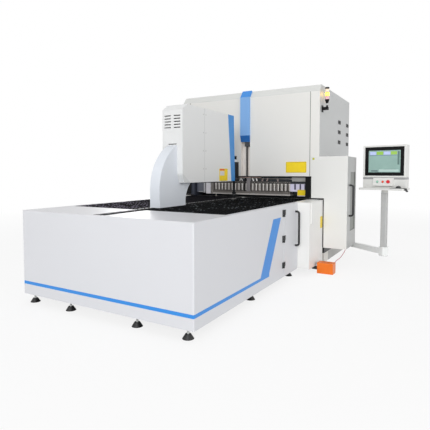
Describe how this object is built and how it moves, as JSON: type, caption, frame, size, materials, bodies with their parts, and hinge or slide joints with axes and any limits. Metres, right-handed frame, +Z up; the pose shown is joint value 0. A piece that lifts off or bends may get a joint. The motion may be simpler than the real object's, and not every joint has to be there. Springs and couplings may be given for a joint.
{
  "type": "panel bender",
  "caption": "Sheet-metal panel bender: brush table with a C-frame clamp manipulator, bending unit with blank-holder tools and blades, swing-arm console and foot switch.",
  "frame": {"origin": "on the floor, centre of the four anchor-bolt holes in the feet of the bending unit", "axes": "+Y from the table to the bending unit, +X to the right of an operator at the table, +Z up"},
  "size_m": [3.9945, 5.18, 2.715],
  "materials": {
    "white_paint": "powder coat",
    "grey_paint": "powder coat",
    "blue_paint": "satin",
    "black_paint": "satin",
    "frame_steel": "painted",
    "tool_steel": "ground",
    "brush_black": "bristle",
    "black_plastic": "moulded",
    "screen_glass": "gloss",
    "green_plastic": "gloss",
    "orange_plastic": "gloss",
    "red_plastic": "gloss",
    "orange_paint": "gloss",
    "lamp_plastic": "clear",
    "pad_rubber": "matt",
    "red_cable": "matt"
  },
  "bodies": {
    "base": {"side_frame_left": "grey_paint", "side_frame_right": "grey_paint", "lower_beam": "black_paint", "counter_blade": "tool_steel", "top_beam": "frame_steel", "lift_cylinders": "frame_steel", "side_cover_left": "white_paint", "side_cover_right": "white_paint", "side_louvres": "black_plastic", "roof_cover": "white_paint", "front_panel": "white_paint", "centre_column": "blue_paint", "guide_channel": "grey_paint", "rear_cover": "white_paint", "side_box_left": "white_paint", "side_box_right": "white_paint", "table_skirt": "white_paint", "table_frame": "frame_steel", "table_top_front": "white_paint", "brush_field_left": "brush_black", "brush_field_right": "brush_black", "slot_strip": "white_paint", "side_block_left": "white_paint", "side_block_right": "white_paint", "levelling_feet": "pad_rubber", "table_hinges": "black_plastic", "manipulator_rails": "frame_steel", "signal_mount": "black_plastic", "signal_tower": "lamp_plastic", "console_bracket": "grey_paint", "pedal_housing": "orange_paint", "pedal_cable": "red_cable", "cable_gland": "black_plastic"},
    "manipulator": {"carriage": "frame_steel", "c_frame": "black_paint", "c_frame_shell": "white_paint", "head_cover": "white_paint", "ram_housing": "black_paint"},
    "press_ram": {"press_rod": "black_paint"},
    "upper_turn": {"upper_clamp": "black_paint"},
    "lower_turn": {"lower_clamp": "tool_steel"},
    "blank_holder": {"blank_holder_beam": "frame_steel", "blank_holder_tools": "tool_steel", "tool_end_blocks": "grey_paint"},
    "blade_lift": {"blade_slide": "frame_steel"},
    "blade_holder": {"blade_frame": "frame_steel"},
    "table_service_door": {"table_door": "white_paint"},
    "side_sliding_door": {"side_door": "white_paint"},
    "console_swing": {"console_arm": "grey_paint", "console_post": "grey_paint"},
    "console_head": {"console_tray": "white_paint", "monitor_housing": "white_paint", "monitor_screen": "screen_glass", "button_box": "white_paint", "mouse": "black_plastic", "mouse_cord": "black_plastic"},
    "start_button": {"button_green": "green_plastic"},
    "stop_button": {"button_orange": "orange_plastic"},
    "emergency_button": {"emergency_stop": "red_plastic"},
    "pedal": {"foot_pedal": "black_plastic"}
  },
  "joints": [
    {"name": "manipulator_travel", "type": "slide", "parent": "base", "child": "manipulator", "axis": [0, 1, 0], "range_m": [-0.75, 0.33]},
    {"name": "clamp_press", "type": "slide", "parent": "manipulator", "child": "press_ram", "axis": [0, 0, 1], "range_m": [-0.053, 0.1]},
    {"name": "clamp_turn", "type": "hinge", "parent": "press_ram", "child": "upper_turn", "pos_m": [0, -1.377, 1.065], "axis": [0, 0, 1], "continuous": true},
    {"name": "lower_clamp_turn", "type": "hinge", "parent": "manipulator", "child": "lower_turn", "pos_m": [0, -1.377, 0.99], "axis": [0, 0, 1], "continuous": true},
    {"name": "blank_holder_lift", "type": "slide", "parent": "base", "child": "blank_holder", "axis": [0, 0, 1], "range_m": [-0.036, 0.08]},
    {"name": "blade_lift", "type": "slide", "parent": "base", "child": "blade_lift", "axis": [0, 0, 1], "range_m": [-0.06, 0.06]},
    {"name": "blade_shift", "type": "slide", "parent": "blade_lift", "child": "blade_holder", "axis": [0, 1, 0], "range_m": [-0.004, 0.05]},
    {"name": "table_door_hinge", "type": "hinge", "parent": "base", "child": "table_service_door", "pos_m": [1.111, -2.153, 0.55], "axis": [0, 0, -1], "range_deg": [0, 105]},
    {"name": "side_door_slide", "type": "slide", "parent": "base", "child": "side_sliding_door", "axis": [0, 1, 0], "range_m": [0, 0.45]},
    {"name": "console_arm_swing", "type": "hinge", "parent": "base", "child": "console_swing", "pos_m": [1.3, 0.01, 0.245], "axis": [0, 0, 1], "range_deg": [-3, 60]},
    {"name": "console_head_turn", "type": "hinge", "parent": "console_swing", "child": "console_head", "pos_m": [2.058, -0.594, 1.13], "axis": [0, 0, 1], "range_deg": [-60, 60]},
    {"name": "start_button_push", "type": "slide", "parent": "console_head", "child": "start_button", "axis": [0.1659, 0.9407, -0.2959], "range_m": [0, 0.004], "stiffness_N_per_m": 400},
    {"name": "stop_button_push", "type": "slide", "parent": "console_head", "child": "stop_button", "axis": [0.1659, 0.9407, -0.2959], "range_m": [0, 0.004], "stiffness_N_per_m": 400},
    {"name": "emergency_button_push", "type": "slide", "parent": "console_head", "child": "emergency_button", "axis": [0.1659, 0.9407, -0.2959], "range_m": [0, 0.004], "stiffness_N_per_m": 600},
    {"name": "pedal_press", "type": "hinge", "parent": "base", "child": "pedal", "pos_m": [1.45, -1.29, 0.052], "axis": [0, -1, 0], "range_deg": [0, 8], "stiffness_Nm_per_rad": 60, "springref_deg": -5.73}
  ],
  "couplings": [
    {"joint": "lower_clamp_turn", "follows": "clamp_turn", "ratio": 1}
  ]
}
